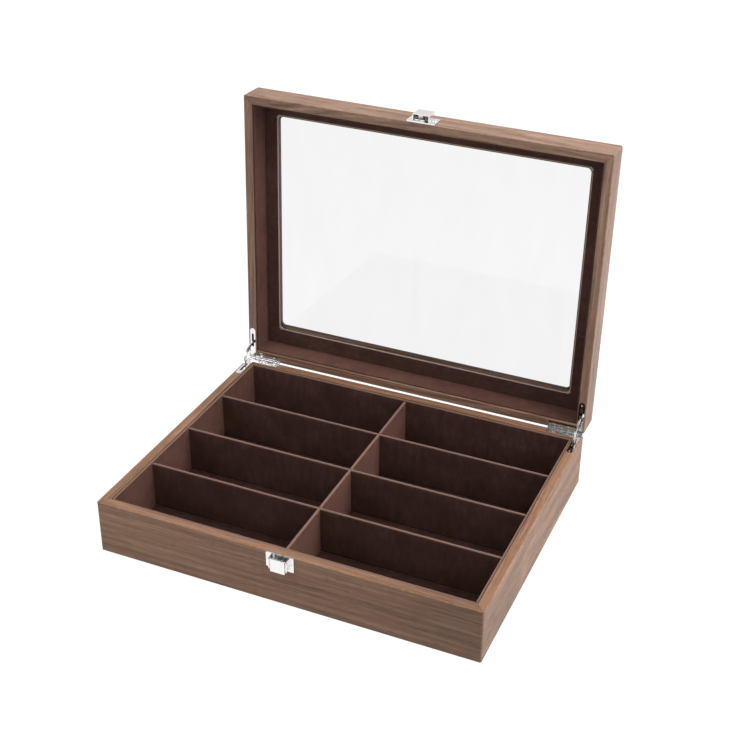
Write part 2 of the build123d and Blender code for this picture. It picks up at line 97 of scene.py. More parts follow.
# ---- Camera: its angles, place and lens agree with the box's straight edges in the photograph ----
CAMERA_AZIMUTH = math.radians(22.36)
CAMERA_ELEVATION = math.radians(29.85)
CAMERA_ROLL = math.radians(1.15)
CAMERA_PLACE = Vector((0.3971, -0.8644, 0.7037))
camera_data = bpy.data.cameras.new("camera")
camera_data.sensor_width = 36.0
camera_data.lens = 65.85
camera_data.shift_x = -0.0375
camera_data.shift_y = -0.0179
camera = bpy.data.objects.new("camera", camera_data)
SCENE.collection.objects.link(camera)
camera_back = Vector(
    (
        math.sin(CAMERA_AZIMUTH) * math.cos(CAMERA_ELEVATION),
        -math.cos(CAMERA_AZIMUTH) * math.cos(CAMERA_ELEVATION),
        math.sin(CAMERA_ELEVATION),
    )
)
level_x = Vector((0, 0, 1)).cross(camera_back).normalized()
level_y = camera_back.cross(level_x)
camera_x = math.cos(CAMERA_ROLL) * level_x + math.sin(CAMERA_ROLL) * level_y
camera_y = -math.sin(CAMERA_ROLL) * level_x + math.cos(CAMERA_ROLL) * level_y
camera.matrix_world = Matrix.Translation(CAMERA_PLACE) @ Matrix(
    (camera_x, camera_y, camera_back)
).transposed().to_4x4()
SCENE.camera = camera


# ---- Node building ----
# the sockets that Blender's Mix node uses for colours
MIX_FACTOR, MIX_FIRST, MIX_SECOND, MIX_RESULT = 0, 6, 7, 2


class Nodes:
    """A material's node tree, with short calls for the nodes used here."""

    def __init__(self, name):
        self.material = bpy.data.materials.new(name)
        self.material.use_nodes = True
        self.tree = self.material.node_tree
        self.tree.nodes.clear()
        self.shader = self.add("ShaderNodeBsdfPrincipled")
        output = self.add("ShaderNodeOutputMaterial")
        self.tree.links.new(self.shader.outputs["BSDF"], output.inputs["Surface"])
        self.place = self.add("ShaderNodeTexCoord").outputs["Object"]

    def add(self, kind, **values):
        node = self.tree.nodes.new(kind)
        for key, value in values.items():
            setattr(node, key, value)
        return node

    def feed(self, socket, value):
        if isinstance(value, bpy.types.NodeSocket):
            self.tree.links.new(value, socket)
        else:
            socket.default_value = value

    def math(self, operation, *values):
        node = self.add("ShaderNodeMath", operation=operation)
        for socket, value in zip(node.inputs, values):
            self.feed(socket, value)
        return node.outputs[0]

    def weighted(self, first, first_share, second, second_share):
        """The sum of two values, each times its share."""
        parts = (self.math("MULTIPLY", first, first_share), self.math("MULTIPLY", second, second_share))
        return self.math("ADD", *parts)

    def inside(self, value, half):
        """How far a value lies inside plus or minus half."""
        return self.math("SUBTRACT", half, self.math("ABSOLUTE", value))

    def between(self, value, low, high):
        """How far a value lies inside low to high."""
        return self.math("MINIMUM", self.math("SUBTRACT", value, low), self.math("SUBTRACT", high, value))

    def mapping(self, vector, location=(0, 0, 0), rotation=(0, 0, 0), scale=(1, 1, 1)):
        node = self.add("ShaderNodeMapping")
        self.feed(node.inputs["Vector"], vector)
        node.inputs["Location"].default_value = location
        node.inputs["Rotation"].default_value = rotation
        node.inputs["Scale"].default_value = scale
        return node.outputs[0]

    def noise(self, vector, scale, detail=3.0, roughness=0.5, distortion=0.0):
        node = self.add("ShaderNodeTexNoise")
        self.feed(node.inputs["Vector"], vector)
        node.inputs["Scale"].default_value = scale
        node.inputs["Detail"].default_value = detail
        node.inputs["Roughness"].default_value = roughness
        node.inputs["Distortion"].default_value = distortion
        return node.outputs["Fac"]

    def stretched(self, vector, stretch, scale, **look):
        """Noise with its own stretch in each direction."""
        return self.noise(self.mapping(vector, scale=stretch), scale, **look)

    def span(self, value, low, high, out_low=0.0, out_high=1.0, smooth=False):
        node = self.add("ShaderNodeMapRange", clamp=True)
        if smooth:
            node.interpolation_type = "SMOOTHSTEP"
        self.feed(node.inputs["Value"], value)
        node.inputs["From Min"].default_value = low
        node.inputs["From Max"].default_value = high
        node.inputs["To Min"].default_value = out_low
        node.inputs["To Max"].default_value = out_high
        return node.outputs["Result"]

    def ramp(self, value, stops):
        node = self.add("ShaderNodeValToRGB")
        self.feed(node.inputs["Fac"], value)
        elements = node.color_ramp.elements
        while len(elements) < len(stops):
            elements.new(0.5)
        for element, (position, colour) in zip(elements, stops):
            element.position = position
            element.color = (*colour, 1)
        return node.outputs["Color"]

    def mix(self, factor, first, second, blend="MIX"):
        node = self.add("ShaderNodeMix", data_type="RGBA", blend_type=blend)
        self.feed(node.inputs[MIX_FACTOR], factor)
        for index, value in ((MIX_FIRST, first), (MIX_SECOND, second)):
            self.feed(node.inputs[index], value if isinstance(value, bpy.types.NodeSocket) else (*value, 1))
        return node.outputs[MIX_RESULT]

    def shaded(self, colour, value):
        """A colour times a grey value."""
        return self.mix(1.0, colour, self.join(value, value, value), "MULTIPLY")

    def bump(self, height, distance, strength=1.0, normal=None):
        node = self.add("ShaderNodeBump")
        node.inputs["Distance"].default_value = distance
        node.inputs["Strength"].default_value = strength
        self.feed(node.inputs["Height"], height)
        if normal is not None:
            self.feed(node.inputs["Normal"], normal)
        return node.outputs["Normal"]

    def split(self, vector):
        node = self.add("ShaderNodeSeparateXYZ")
        self.feed(node.inputs[0], vector)
        return node.outputs[0], node.outputs[1], node.outputs[2]

    def join(self, x, y, z):
        node = self.add("ShaderNodeCombineXYZ")
        for socket, value in zip(node.inputs, (x, y, z)):
            self.feed(socket, value)
        return node.outputs[0]

    def set(self, **values):
        for key, value in values.items():
            self.feed(self.shader.inputs[key.replace("_", " ")], value)


def lid_place(nodes):
    """Closed-box coordinates for a material on the open lid."""
    turned = nodes.mapping(nodes.place, location=-AXIS_POINT)
    level = nodes.mapping(turned, rotation=(OPEN_ANGLE, 0, 0))
    return nodes.mapping(level, location=AXIS_POINT)


def toned(colour, factor):
    return [part * factor for part in colour]


# ---- Walnut: stretches are per metre, along the grain and then across it ----
WOOD_DARK = (0.078, 0.039, 0.024)
WOOD_MID = (0.200, 0.112, 0.068)
WOOD_LIGHT = (0.300, 0.182, 0.116)
SILL_STAIN = (0.030, 0.018, 0.016)
SWAY_STRETCH = (1.6, 7.0, 7.0)
STREAK_STRETCH = (6.5, 300.0, 300.0)
FINE_STRETCH = (22.0, 1000.0, 1000.0)
PATCH_STRETCH = (6.0, 34.0, 34.0)
FIBRE_STRETCH = (60.0, 1900.0, 1900.0)
PORE_STRETCH = (110.0, 2600.0, 2600.0)
RING_BEND_Y, RING_BEND_Z = 0.055, 0.040
RING_DRIFT = 0.035
RING_TURNS = 1150.0
RING_JITTER = 16.0
RING_SHARE, FINE_SHARE, STREAK_SHARE, PATCH_SHARE = 0.12, 0.36, 0.66, 0.24
PORE_DEPTH = 0.55
# how far from an arris its wear and painted highlight reach
WEAR_HIGHLIGHT_NEAR, WEAR_HIGHLIGHT_FAR = 0.0003, 0.0013
MITRE_NEAR, MITRE_FAR = 0.00006, 0.00022
SILL_NEAR, SILL_FAR = -0.00030, -0.00012


def walnut(name, on_lid, along_y, shift, low, high, tint, painted_light_ends=(1.0, 1.0), sill=None):
    """Oiled walnut with its grain along one wall of the box, which lies between low and high in z.

    The tone given for the board's two ends is painted light and shade, standing for the lamps' falloff along
    it; sill is the half width and y range of an opening whose cut edge is stained dark.
    """
    n = Nodes(name)
    place = lid_place(n) if on_lid else n.place
    x, y, z = n.split(place)
    # distances in from the outer faces
    from_x = n.inside(x, HALF_X)
    from_y = n.inside(y, HALF_Y)
    from_z = n.between(z, low, high)
    if sill:
        # a frame of four boards: the two at the sides have their grain along y
        grain_place = n.mix(n.math("LESS_THAN", from_x, from_y), place, n.join(y, x, z))
    else:
        grain_place = n.join(y, x, z) if along_y else place
    shifted = n.mapping(grain_place, location=shift)
    # growth rings round a far axis, bent by slow noise
    sway = n.stretched(shifted, SWAY_STRETCH, 1.5, detail=2.0, roughness=0.4)
    bend = n.math("SUBTRACT", sway, 0.5)
    grain_x, grain_y, grain_z = n.split(shifted)
    ring_y = n.math("ADD", grain_y, n.math("MULTIPLY", bend, RING_BEND_Y))
    ring_z = n.math("ADD", grain_z, n.math("MULTIPLY", bend, RING_BEND_Z))
    radius = n.math("SQRT", n.weighted(ring_y, ring_y, ring_z, ring_z))
    ring_place = n.join(n.math("MULTIPLY", grain_x, RING_DRIFT), radius, 0.0)
    ring_noise = n.noise(ring_place, 120.0, detail=4.0, roughness=0.6)
    ring_wave = n.math("SINE", n.weighted(radius, RING_TURNS, ring_noise, RING_JITTER))
    rings = n.span(ring_wave, -0.2, 1.0)
    bent = n.join(grain_x, ring_y, ring_z)
    streaks = n.stretched(bent, STREAK_STRETCH, 1.0, detail=4.0, roughness=0.62)
    fine = n.stretched(bent, FINE_STRETCH, 1.0, detail=3.0, roughness=0.6)
    patches = n.stretched(shifted, PATCH_STRETCH, 1.0, detail=2.0)
    fibres = n.stretched(shifted, FIBRE_STRETCH, 1.0, detail=2.0, roughness=0.6)
    pore_noise = n.stretched(shifted, PORE_STRETCH, 1.0, detail=1.0, roughness=0.4)
    pores = n.span(pore_noise, 0.60, 0.70, smooth=True)
    tone_value = n.math(
        "ADD",
        n.weighted(rings, RING_SHARE, fine, FINE_SHARE),
        n.weighted(streaks, STREAK_SHARE, patches, PATCH_SHARE),
    )
    woods = (WOOD_DARK, WOOD_MID, WOOD_LIGHT)
    dark, mid, light = ([part * t for part, t in zip(colour, tint)] for colour in woods)
    base = n.ramp(
        n.span(tone_value, 0.46, 0.92),
        [(0.0, dark), (0.26, toned(mid, 0.78)), (0.52, mid), (1.0, light)],
    )
    # painted light and shade: the board lighter towards one end and darker towards the other, as the lamps
    # fall off along it
    half_length = HALF_Y if along_y else HALF_X
    base = n.shaded(base, n.span(y if along_y else x, -half_length, half_length, *painted_light_ends))
    coloured = n.shaded(base, n.span(fibres, 0.3, 0.7, 0.86, 1.12))
    pored = n.mix(n.math("MULTIPLY", pores, PORE_DEPTH), coloured, toned(dark, 0.55))
    # the middle one of the three distances is small only near an arris, which is lighter in places: wear, and
    # a painted highlight on the rounded arris
    nearer = n.math("MINIMUM", from_x, from_y)
    further = n.math("MAXIMUM", from_x, from_y)
    from_arris = n.math("MAXIMUM", nearer, n.math("MINIMUM", further, from_z))
    wear_and_highlight = n.math(
        "MULTIPLY",
        n.span(from_arris, WEAR_HIGHLIGHT_NEAR, WEAR_HIGHLIGHT_FAR, 1.0, 0.0, smooth=True),
        n.span(n.noise(shifted, 260.0), 0.38, 0.62, 0.15, 0.75),
    )
    edged = n.mix(n.math("MULTIPLY", wear_and_highlight, 0.5), pored, toned(light, 1.25))
    # the mitre line, where the two walls' distances are equal
    mitre = n.math("ABSOLUTE", n.math("SUBTRACT", from_x, from_y))
    line = n.span(mitre, MITRE_NEAR, MITRE_FAR, 0.75, 0.0, smooth=True)
    finished = n.mix(line, edged, toned(dark, 0.45))
    if sill:
        half_width, low_y, high_y = sill
        in_opening = n.math("MINIMUM", n.inside(x, half_width), n.between(y, low_y, high_y))
        finished = n.mix(n.span(in_opening, SILL_NEAR, SILL_FAR), finished, SILL_STAIN)
    relief = n.math("SUBTRACT", n.math("MULTIPLY", fibres, 0.5), n.math("MULTIPLY", pores, 1.0))
    uneven = n.math("SUBTRACT", n.math("MULTIPLY", pores, 0.2), n.math("MULTIPLY", wear_and_highlight, 0.08))
    n.set(
        Base_Color=finished,
        Roughness=n.math("ADD", n.span(fibres, 0.3, 0.7, 0.40, 0.50), uneven),
        Specular_IOR_Level=0.32,
        Normal=n.bump(n.math("MULTIPLY", line, -1.0), 0.00012, normal=n.bump(relief, 0.00004)),
    )
    return n.material


# ---- Velvet, felt and board ----
VELVET_STOPS = (
    (0.0, (0.028, 0.0120, 0.0092)),
    (0.5, (0.051, 0.0240, 0.0182)),
    (1.0, (0.088, 0.045, 0.034)),
)
# the lighter velvet along the tops of the dividers and linings: a painted sheen highlight, where the pile
# also opens
VELVET_OPENED_SHEEN = (0.140, 0.088, 0.069)
# the light line round the window's cut edge: a painted highlight of the edge catching the light
CUT_EDGE_SHEEN = (0.30, 0.235, 0.215)
LINT = (0.20, 0.16, 0.14)
PATCH_SHADE, BRUSH_SHADE, PILE_SHADE = 0.32, 0.36, 0.36
PILE_SCALE, TUFT_SCALE, LINT_SCALE = 2300.0, 1500.0, 620.0


def velvet(name, on_lid=False, sheen_band=None, shade_tone=1.0, sheen_colour=VELVET_OPENED_SHEEN):
    """Short brown pile, brushed in soft patches. Between two given heights it is lighter: a painted sheen
    highlight along the top edge, where the pile also opens.
    """
    n = Nodes(name)
    place = lid_place(n) if on_lid else n.place
    patches = n.stretched(place, (1.0, 1.0, 1.6), 30.0, detail=3.0, roughness=0.5, distortion=0.4)
    brushed = n.stretched(place, (1.0, 1.0, 0.35), 210.0, detail=3.0, roughness=0.6)
    pile = n.noise(place, PILE_SCALE, detail=2.0, roughness=0.7)
    tufts = n.add("ShaderNodeTexVoronoi")
    n.feed(tufts.inputs["Vector"], place)
    tufts.inputs["Scale"].default_value = TUFT_SCALE
    lint_noise = n.noise(place, LINT_SCALE, detail=4.0, roughness=0.75)
    lint = n.span(lint_noise, 0.71, 0.77, smooth=True)
    shade = n.math(
        "ADD",
        n.math("MULTIPLY", patches, PATCH_SHADE),
        n.weighted(brushed, BRUSH_SHADE, pile, PILE_SHADE),
    )
    # a tone below 1 darkens the velvet and its sheen, as painted shade
    stops = [(stop, toned(colour, shade_tone)) for stop, colour in VELVET_STOPS]
    base = n.ramp(n.span(shade, 0.36, 0.72), stops)
    if sheen_band:
        # painted sheen highlight between the two heights, mottled by the pile
        height = n.split(place)[2]
        opened_and_sheen = n.math("MULTIPLY", n.span(height, *sheen_band, smooth=True), n.span(pile, 0.3, 0.7, 0.72, 1.0))
        base = n.mix(opened_and_sheen, base, sheen_colour)
    n.set(
        Base_Color=n.mix(n.math("MULTIPLY", lint, 0.3), base, LINT),
        Roughness=n.span(brushed, 0.3, 0.7, 0.82, 0.98),
        Specular_IOR_Level=0.1,
        Sheen_Weight=0.30 * shade_tone,
        Sheen_Roughness=0.42,
        Sheen_Tint=(0.80, 0.40, 0.30, 1),
        Normal=n.bump(
            n.math("ADD", pile, n.math("MULTIPLY", tufts.outputs["Distance"], 0.5)),
            0.00035,
            strength=0.9,
            normal=n.bump(patches, 0.0025, strength=0.2),
        ),
    )
    return n.material


def felt(name):
    """Pressed brown wool felt with loose fibres."""
    n = Nodes(name)
    fibres = n.stretched(n.place, (1.0, 1.0, 3.0), 900.0, detail=5.0, roughness=0.75, distortion=2.5)
    clouds = n.noise(n.place, 90.0)
    base = n.ramp(
        n.span(n.weighted(fibres, 0.7, clouds, 0.3), 0.3, 0.7),
        [(0.0, (0.012, 0.007, 0.006)), (0.6, (0.030, 0.018, 0.015)), (1.0, (0.075, 0.05, 0.042))],
    )
    n.set(
        Base_Color=base,
        Roughness=n.span(fibres, 0.3, 0.7, 0.88, 1.0),
        Specular_IOR_Level=0.1,
        Sheen_Weight=0.35,
        Sheen_Roughness=0.6,
        Sheen_Tint=(0.6, 0.5, 0.45, 1),
        Normal=n.bump(fibres, 0.0004),
    )
    return n.material


def board(name):
    """Raw fibreboard."""
    n = Nodes(name)
    chips = n.stretched(n.place, (1.0, 1.0, 4.0), 420.0, detail=6.0, roughness=0.8)
    base = n.ramp(
        n.span(chips, 0.3, 0.72),
        [(0.0, (0.11, 0.065, 0.035)), (0.5, (0.24, 0.15, 0.085)), (1.0, (0.38, 0.26, 0.16))],
    )
    n.set(Base_Color=base, Roughness=n.span(chips, 0.3, 0.7, 0.7, 0.9), Normal=n.bump(chips, 0.00015))
    return n.material


# ---- Chrome and the clear pane ----
def chrome(name, tint, rough, scratch_stretch=(1.0, 1.0, 1.0)):
    """Plated steel with hairline scratches, a slightly uneven polish and dull handled spots."""
    n = Nodes(name)
    hairlines = n.stretched(n.place, scratch_stretch, 2600.0, detail=3.0, roughness=0.8)
    smudges = n.noise(n.place, 420.0, detail=3.0, roughness=0.6)
    ripples = n.noise(n.place, 300.0, detail=1.0)
    smudged = n.span(smudges, 0.35, 0.7, rough * 0.7, rough * 1.6)
    scratched = n.span(hairlines, 0.55, 0.75, 0.0, 0.12)
    n.set(
        Base_Color=n.shaded(tint, n.span(smudges, 0.3, 0.7, 0.94, 1.03)),
        Metallic=1.0,
        Roughness=n.math("ADD", smudged, scratched),
        Normal=n.bump(hairlines, 0.000001, normal=n.bump(ripples, 0.00002)),
    )
    return n.material


PANE_DARK, PANE_LIGHT = (0.16, 0.155, 0.17), (0.21, 0.20, 0.22)
PANE_ALPHA = (0.096, 0.108)


def clear_pane(name):
    """Clear acrylic: light goes straight through, with a weak mirror over it and faint wipe marks."""
    n = Nodes(name)
    wipes = n.stretched(n.place, (1.0, 1.0, 0.3), 46.0, detail=4.0, roughness=0.6, distortion=1.0)
    n.set(
        Base_Color=n.ramp(wipes, [(0.0, PANE_DARK), (1.0, PANE_LIGHT)]),
        Metallic=1.0,
        Roughness=n.span(wipes, 0.45, 0.75, 0.02, 0.07),
        Alpha=n.span(wipes, 0.3, 0.7, *PANE_ALPHA),
    )
    n.material.surface_render_method = "BLENDED"
    return n.material


# ---- Meshes that stand for CAD nodes ----
SHARP_ANGLE = math.radians(40)
MERGE_DISTANCE = 1e-7


def add_piece(name, mesh, material, body, replaced):
    piece = bpy.data.objects.new(name, mesh)
    SCENE.collection.objects.link(piece)
    mesh.materials.append(material)
    for polygon in mesh.polygons:
        polygon.use_smooth = True
    mesh.set_sharp_from_angle(angle=SHARP_ANGLE)
    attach(piece, body)
    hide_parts(replaced)
    return piece


def mesh_from(name, points, faces, matrix=BASE):
    mesh = bpy.data.meshes.new(name)
    mesh.from_pydata([matrix @ Vector(point) for point in points], [], faces)
    build = bmesh.new()
    build.from_mesh(mesh)
    bmesh.ops.remove_doubles(build, verts=build.verts, dist=MERGE_DISTANCE)
    bmesh.ops.recalc_face_normals(build, faces=build.faces)
    build.to_mesh(mesh)
    build.free()
    mesh.validate()
    return mesh


def wander(point, size, seed):
    """Smooth noise from -1 to 1 that changes over size."""
    return noise.noise(Vector(point) / size + Vector((seed * 7.3, seed * 3.1, seed * 5.7)))


def steps(start, end, pitch):
    """Evenly spaced values from start to end, at most pitch apart."""
    count = max(1, math.ceil((end - start) / pitch - 1e-6))
    return [start + (end - start) * i / count for i in range(count + 1)]


def band(ring, other):
    """Faces between two closed rings with as many points."""
    count = len(ring)
    return [(ring[k], ring[(k + 1) % count], other[(k + 1) % count], other[k]) for k in range(count)]


def grid_faces(first, columns, rows):
    """Faces of a grid of points in columns, the first of which has index first."""
    faces = []
    for a in range(columns - 1):
        for b in range(rows - 1):
            p = first + a * rows + b
            faces.append((p, p + 1, p + rows + 1, p + rows))
    return faces


def grid_rim(first, columns, rows):
    """The points round the edge of the same grid."""
    rim = [first + b for b in range(rows)]
    rim += [first + a * rows + rows - 1 for a in range(1, columns)]
    rim += [first + (columns - 1) * rows + b for b in range(rows - 2, -1, -1)]
    rim += [first + a * rows for a in range(columns - 2, 0, -1)]
    return rim


CARD_PITCH = 0.0026
CARD_ROWS = 14
CARD_WAVE = 0.00012
CREST_WAVE = 0.00010
# the wave fades out over these distances, towards an end or a notch and towards the top or bottom
CALM_END, CALM_EDGE = 0.006, 0.004
# far enough apart in the noise for the card's two faces to differ
FACE_SPREAD = 40
SQUARE_EDGE = 0.0002


def card_section(half, low, high, round_low, round_high, keep):
    """The (across, up) outline of a covered card, from its low left corner round to its low right one.

    keep is "all", or "low" or "high" at a half-lap notch, where the rest is drawn in to the middle level.
    """
    turn = [(1 - math.cos(a), 1 - math.sin(a)) for a in (math.radians(d) for d in (0, 22.5, 45, 67.5, 90))]
    straight = high - round_high - low - round_low
    left = [(-half + round_low * a, low + round_low * b) for a, b in reversed(turn)]
    middle_index = len(left) + CARD_ROWS // 2 - 1
    left += [(-half, low + round_low + straight * i / CARD_ROWS) for i in range(1, CARD_ROWS)]
    left += [(-half + round_high * a, high - round_high * b) for a, b in turn]
    middle = left[middle_index][1]
    count = len(left) - 1 - middle_index if keep == "low" else middle_index
    drawn_in = [(-half * (1 - (k + 1) / (count + 1)), middle) for k in range(count)]
    if keep == "low":
        left = left[: middle_index + 1] + drawn_in
    elif keep == "high":
        left = drawn_in[::-1] + left[middle_index:]
    return left + [(-across, up) for across, up in reversed(left)]


def covered_card(along, half, low, high, rounds, place, seed, sides=(True, True)):
    """A velvet-covered card through the stations along: (place, part kept, share of the surface wave).

    sides says which of its two faces have the wave.
    """
    points = []
    for s, keep, share in along:
        crest = high + CREST_WAVE * share * wander((s, 0, high), 0.011, seed + 3)
        ring = card_section(half, low, crest, *rounds, keep)
        for across, up in ring:
            depth = share * max(0.0, min(1.0, (high - up) / CALM_EDGE, (up - low) / CALM_EDGE))
            spot = (s, up, across * FACE_SPREAD)
            push = wander(spot, 0.026, seed) + 0.3 * wander(spot, 0.009, seed + 1)
            wave = CARD_WAVE * push * depth if sides[int(across > 0)] else 0.0
            points.append(place(s, across + math.copysign(wave, across), up))
    size = len(ring)
    rings = [range(i * size, (i + 1) * size) for i in range(len(along))]
    faces = [face for one, other in zip(rings, rings[1:]) for face in band(one, other)]
    faces.append(tuple(rings[0]))
    faces.append(tuple(reversed(rings[-1])))
    return points, faces


LINER_CLEARANCE = 0.0004
LINER_END_GAP, LINER_TOP_GAP = 0.00005, 0.00002
LINER_ROUND = 0.0009


def liner(name, node, matrix, box, material, body, seed, round_high):
    """One velvet panel against the inside of a wall, in the place of its CAD node."""
    low, high = box
    size = high - low
    along_x = size.x > size.y
    start, end = (low.x, high.x) if along_x else (low.y, high.y)
    thickness = size.y if along_x else size.x
    middle = (low + high) / 2
    outward = math.copysign(1.0, middle.y if along_x else middle.x)
    half = thickness / 2 - LINER_CLEARANCE / 2
    centre = (middle.y if along_x else middle.x) - outward * LINER_CLEARANCE / 2

    def place(s, across, up):
        offset = centre + across
        return (s, offset, up) if along_x else (offset, s, up)

    edge = min(half * 0.92, LINER_ROUND)
    rounds = (SQUARE_EDGE, edge) if round_high else (edge, SQUARE_EDGE)
    stations = [
        (s, "all", min(1.0, (s - start) / CALM_END, (end - s) / CALM_END))
        for s in steps(start + LINER_END_GAP, end - LINER_END_GAP, CARD_PITCH)
    ]
    bottom, top = low.z + LINER_TOP_GAP, high.z - LINER_TOP_GAP
    sides = (outward > 0, outward < 0)
    points, faces = covered_card(stations, half, bottom, top, rounds, place, seed, sides)
    return add_piece(name, mesh_from(name, points, faces, matrix), material, body, node)


DIVIDER_ROUND = 0.00112
LAP_GAP = 0.00005


def divider(name, node, crossings, notch_high, material, seed, run_y):
    """A velvet-covered divider with half-lap notches at its crossings."""
    low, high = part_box(node)
    start, end = (low.y, high.y) if run_y else (low.x, high.x)
    half = ((high.x - low.x) if run_y else (high.y - low.y)) / 2
    centre = ((high.x + low.x) if run_y else (high.y + low.y)) / 2
    lap = half + LAP_GAP
    marks = sorted([start] + [c + sign * lap for c in crossings for sign in (-1, 1)] + [end])
    stations = []
    for index in range(len(marks) - 1):
        keep = ("low" if notch_high else "high") if index % 2 else "all"
        for s in steps(marks[index], marks[index + 1], CARD_PITCH):
            to_mark = min(s - marks[index], marks[index + 1] - s)
            calm = 0.0 if index % 2 else min(1.0, to_mark / CALM_END)
            stations.append((s, keep, max(0.0, calm)))

    def place(s, across, up):
        return (centre + across, s, up) if run_y else (s, centre + across, up)

    rounds = (SQUARE_EDGE, min(half * 0.95, DIVIDER_ROUND))
    points, faces = covered_card(stations, half, low.z, high.z, rounds, place, seed)
    return add_piece(name, mesh_from(name, points, faces), material, "base", node)


PAD_GAP = 0.00003
PAD_INSETS = (0.0, 0.0003, 0.0009, 0.0018)
PAD_MARGIN = 0.004
PAD_PITCH = 0.0034
PAD_ROLL = 0.0018
PAD_CROWN, PAD_CROWN_REACH = 0.0002, 0.02
PAD_LONG_WAVE, PAD_SHORT_WAVE = 0.00022, 0.0001


def pad_spans(lines, half_divider):
    """The pads' (low, high) ranges between lines: the walls, and the dividers' centres."""
    spans = []
    for low, high in zip(lines, lines[1:]):
        start = low + (PAD_GAP if low == lines[0] else half_divider + PAD_GAP)
        end = high - (PAD_GAP if high == lines[-1] else half_divider + PAD_GAP)
        spans.append((start, end))
    return spans


def pad_stations(low, high):
    """Close stations at a pad's two edges and even ones between."""
    inner = steps(low + PAD_MARGIN, high - PAD_MARGIN, PAD_PITCH)
    return [low + d for d in PAD_INSETS] + inner + [high - d for d in reversed(PAD_INSETS)]


def floor_pads(name, node, x_lines, y_lines, half_divider, material):
    """A thin velvet pad in every compartment, crowned and tucked down at its edges."""
    low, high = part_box(node)
    points, faces = [], []
    for i, (x0, x1) in enumerate(pad_spans(x_lines, half_divider)):
        for j, (y0, y1) in enumerate(pad_spans(y_lines, half_divider)):
            xs, ys = pad_stations(x0, x1), pad_stations(y0, y1)
            first = len(points)
            for x in xs:
                for y in ys:
                    edge = min(x - x0, x1 - x, y - y0, y1 - y)
                    tuck = 0.85 + 0.15 * math.sqrt(max(0.0, 1 - (1 - min(edge / PAD_ROLL, 1.0)) ** 2))
                    crown = min(edge / PAD_CROWN_REACH, 1.0)
                    rise = PAD_LONG_WAVE * wander((x, y, i + j), 0.022, 11)
                    rise += PAD_SHORT_WAVE * wander((x, y, i - j), 0.007, 12)
                    top = low.z + (high.z - low.z - PAD_CROWN) * tuck + PAD_CROWN * crown
                    points.append((x, y, top + rise * min(edge / PAD_MARGIN, 1.0)))
            faces += grid_faces(first, len(xs), len(ys))
            rim = grid_rim(first, len(xs), len(ys))
            foot = range(len(points), len(points) + len(rim))
            points.extend((points[p][0], points[p][1], low.z) for p in rim)
            faces += band(rim, foot)
            faces.append(tuple(foot))
    return add_piece(name, mesh_from(name, points, faces), material, "base", node)


def rounded_loop(half_x, low_y, high_y, corner, count_x, count_y, count_corner):
    """A closed loop of (x, y) round a rounded rectangle, the same number of points for any size."""
    corners = [
        (half_x - corner, high_y - corner, 0),
        (-half_x + corner, high_y - corner, 90),
        (-half_x + corner, low_y + corner, 180),
        (half_x - corner, low_y + corner, 270),
    ]
    loop = []
    for index, (x, y, start) in enumerate(corners):
        for k in range(count_corner + 1):
            a = math.radians(start + 90 * k / count_corner)
            loop.append((x + corner * math.cos(a), y + corner * math.sin(a)))
        # the straight side from here to the next corner
        next_x, next_y, next_start = corners[(index + 1) % 4]
        b = math.radians(next_start)
        ahead = (next_x + corner * math.cos(b), next_y + corner * math.sin(b))
        count = count_x if index % 2 == 0 else count_y
        here = loop[-1]
        for k in range(1, count):
            loop.append(tuple(here[m] + (ahead[m] - here[m]) * k / count for m in range(2)))
    return loop


OPENING_MARGIN = 0.004


def opening(node):
    """The half width and the y range of a lid frame's opening, in closed-box coordinates."""
    low, high = closed_box(node)
    inner = [
        p
        for p in closed_points(node)
        if abs(p.x) < high.x - OPENING_MARGIN and low.y + OPENING_MARGIN < p.y < high.y - OPENING_MARGIN
    ]
    return max(p.x for p in inner), min(p.y for p in inner), max(p.y for p in inner)


FRAME_CORNER, FRAME_OUTER_CORNER = 0.005, 0.0003
FRAME_ROLL = 0.0009
FRAME_COUNTS = (110, 84, 8)
FRAME_SHARES = (0.06, 0.14, 0.26, 0.4, 0.55, 0.7, 0.84, 0.95, 1.0)
FRAME_WAVE = 0.00016
FRAME_BACK_GAP = 0.00004


def velvet_frame(name, node, material, edge_material):
    """The velvet frame round the window, with its edge rolled round the opening."""
    low, high = closed_box(node)
    open_x, open_low, open_high = opening(node)
    profile = [(0.0, high.z), (0.0, low.z + FRAME_ROLL)]
    for a in (math.radians(d) for d in (30, 60, 90)):
        profile.append((FRAME_ROLL * (1 - math.cos(a)), low.z + FRAME_ROLL * (1 - math.sin(a))))
    loops = []
    for out, z in profile:
        edges = (open_x + out, open_low - out, open_high + out)
        loops.append([(x, y, z) for x, y in rounded_loop(*edges, FRAME_CORNER + out, *FRAME_COUNTS)])
    start = loops[-1]
    outer = rounded_loop(high.x, low.y, high.y, FRAME_OUTER_CORNER, *FRAME_COUNTS)
    for share in FRAME_SHARES:
        ring = []
        for (x, y, z), (ox, oy) in zip(start, outer):
            px, py = x + (ox - x) * share, y + (oy - y) * share
            rise = FRAME_WAVE * wander((px, py, 0), 0.02, 21) * math.sin(math.pi * share)
            ring.append((px, py, low.z + rise))
        loops.append(ring)
    loops.append([(x, y, high.z - FRAME_BACK_GAP) for x, y in outer])
    points = [point for loop in loops for point in loop]
    size = len(outer)
    rings = [range(i * size, (i + 1) * size) for i in range(len(loops))]
    faces = [face for i, ring in enumerate(rings) for face in band(ring, rings[(i + 1) % len(rings)])]
    piece = add_piece(name, mesh_from(name, points, faces, LID), material, "lid", node)
    # the rolled edge round the opening takes the cut-edge velvet, whose colour is a painted highlight
    piece.data.materials.append(edge_material)
    for polygon in piece.data.polygons:
        centre = LID_BACK @ polygon.center
        beyond = max(abs(centre.x) - open_x, centre.y - open_high, open_low - centre.y)
        polygon.material_index = int(beyond < FRAME_ROLL * 0.9 and centre.z < low.z + FRAME_ROLL)
    return piece


FELT_PITCH = 0.005
FELT_RISE, FELT_WAVE = 0.00012, 0.0001
FELT_EDGE, FELT_EDGE_RISE = 0.002, 0.0003


